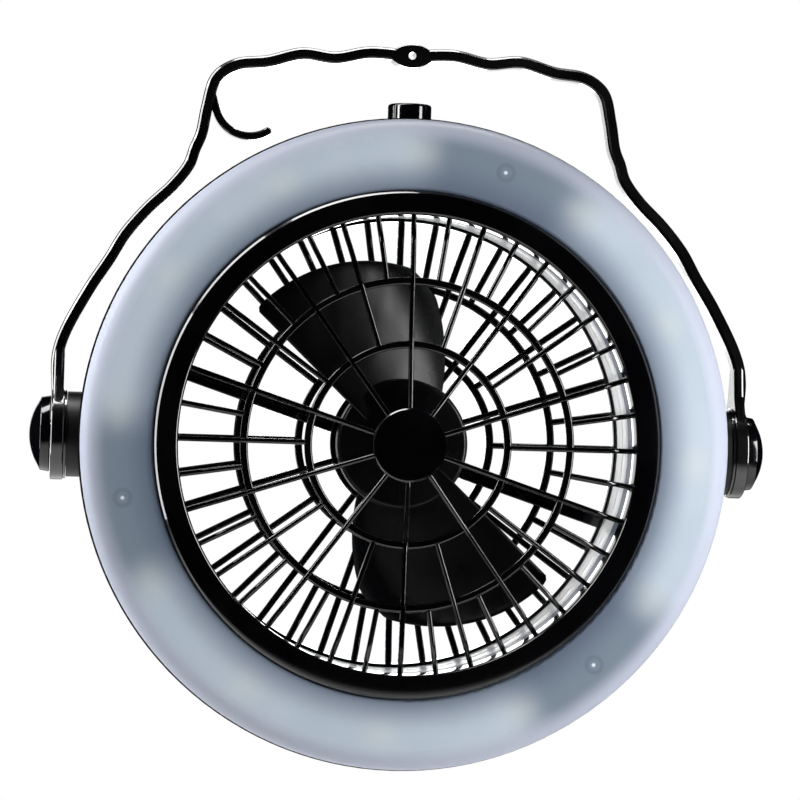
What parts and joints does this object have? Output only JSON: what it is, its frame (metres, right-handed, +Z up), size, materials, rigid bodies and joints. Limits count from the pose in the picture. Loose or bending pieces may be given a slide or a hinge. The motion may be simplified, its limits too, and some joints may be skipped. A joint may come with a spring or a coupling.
{
  "type": "portable camping fan",
  "caption": "Hanging fan with a domed round guard, a frosted ring light and a wavy bail handle with a hook, held on friction pivots.",
  "frame": {"origin": "underside of the middle of the grip, where the fan hangs from a hook or a hand", "axes": "+X to the right seen from the front and along the pivots, +Y from the face to the back along the rotor's axis, +Z up"},
  "size_m": [0.2314, 0.0535, 0.2258],
  "materials": {
    "handle_black": "moulded black plastic with a satin sheen",
    "gloss_black": "polished black plastic",
    "housing_black": "moulded black plastic with a fine texture",
    "grille_black": "polished black plastic with bright edges",
    "rotor_black": "polished black plastic",
    "sleeve_white": "smooth white plastic",
    "frosted_clear": "frosted translucent plastic, pale blue-grey",
    "board_white": "white solder mask",
    "light_package": "pale yellow light package",
    "steel": "zinc-plated steel",
    "motor_steel": "drawn steel can",
    "motor_plastic": "dark moulded plastic",
    "lead_black": "soft black insulation",
    "board_green": "green solder mask",
    "component_dark": "moulded component bodies",
    "switch_ivory": "moulded ivory plastic",
    "cell_sleeve": "shrink sleeve",
    "contact_metal": "nickel-plated spring sheet",
    "washer_fibre": "friction washer fibre"
  },
  "bodies": {
    "handle": {"handle_bail": "handle_black", "pivot_cap_left": "gloss_black", "pivot_cap_right": "gloss_black"},
    "housing": {"rear_housing": "housing_black", "rear_grille": "grille_black", "duct_sleeve": "sleeve_white", "front_grille": "grille_black", "diffuser_lens": "frosted_clear", "led_board_left": "board_white", "led_board_bottom": "board_white", "led_board_right": "board_white", "led_packages": "light_package", "housing_screws": "steel", "motor_can": "motor_steel", "motor_end_bell": "motor_plastic", "motor_screws": "steel", "motor_leads": "lead_black", "control_board": "board_green", "board_components": "component_dark", "board_screws": "steel", "battery_leads": "lead_black", "switch_body": "switch_ivory", "battery_cell_1": "cell_sleeve", "battery_cell_2": "cell_sleeve", "battery_cell_3": "cell_sleeve", "battery_cell_4": "cell_sleeve", "battery_contacts": "contact_metal", "friction_washer_left": "washer_fibre", "friction_washer_right": "washer_fibre", "pivot_screws": "steel", "spring_washers": "steel"},
    "button": {"power_button": "gloss_black", "switch_plunger": "switch_ivory"},
    "rotor": {"fan_rotor": "rotor_black", "rotor_shaft": "steel"},
    "battery_door": {"battery_door": "housing_black"}
  },
  "joints": [
    {"name": "housing_tilt", "type": "hinge", "parent": "handle", "child": "housing", "pos_m": [0, 0, -0.1178], "axis": [1, 0, 0], "continuous": true},
    {"name": "rotor_spin", "type": "hinge", "parent": "housing", "child": "rotor", "pos_m": [0, 0, -0.1178], "axis": [0, 1, 0], "continuous": true},
    {"name": "button_press", "type": "slide", "parent": "housing", "child": "button", "axis": [0, 0, -1], "range_m": [0, 0.002], "stiffness_N_per_m": 800, "springref_m": -0.002},
    {"name": "battery_door_release", "type": "slide", "parent": "housing", "child": "battery_door", "axis": [0, 1, 0], "range_m": [0, 0.02]}
  ]
}
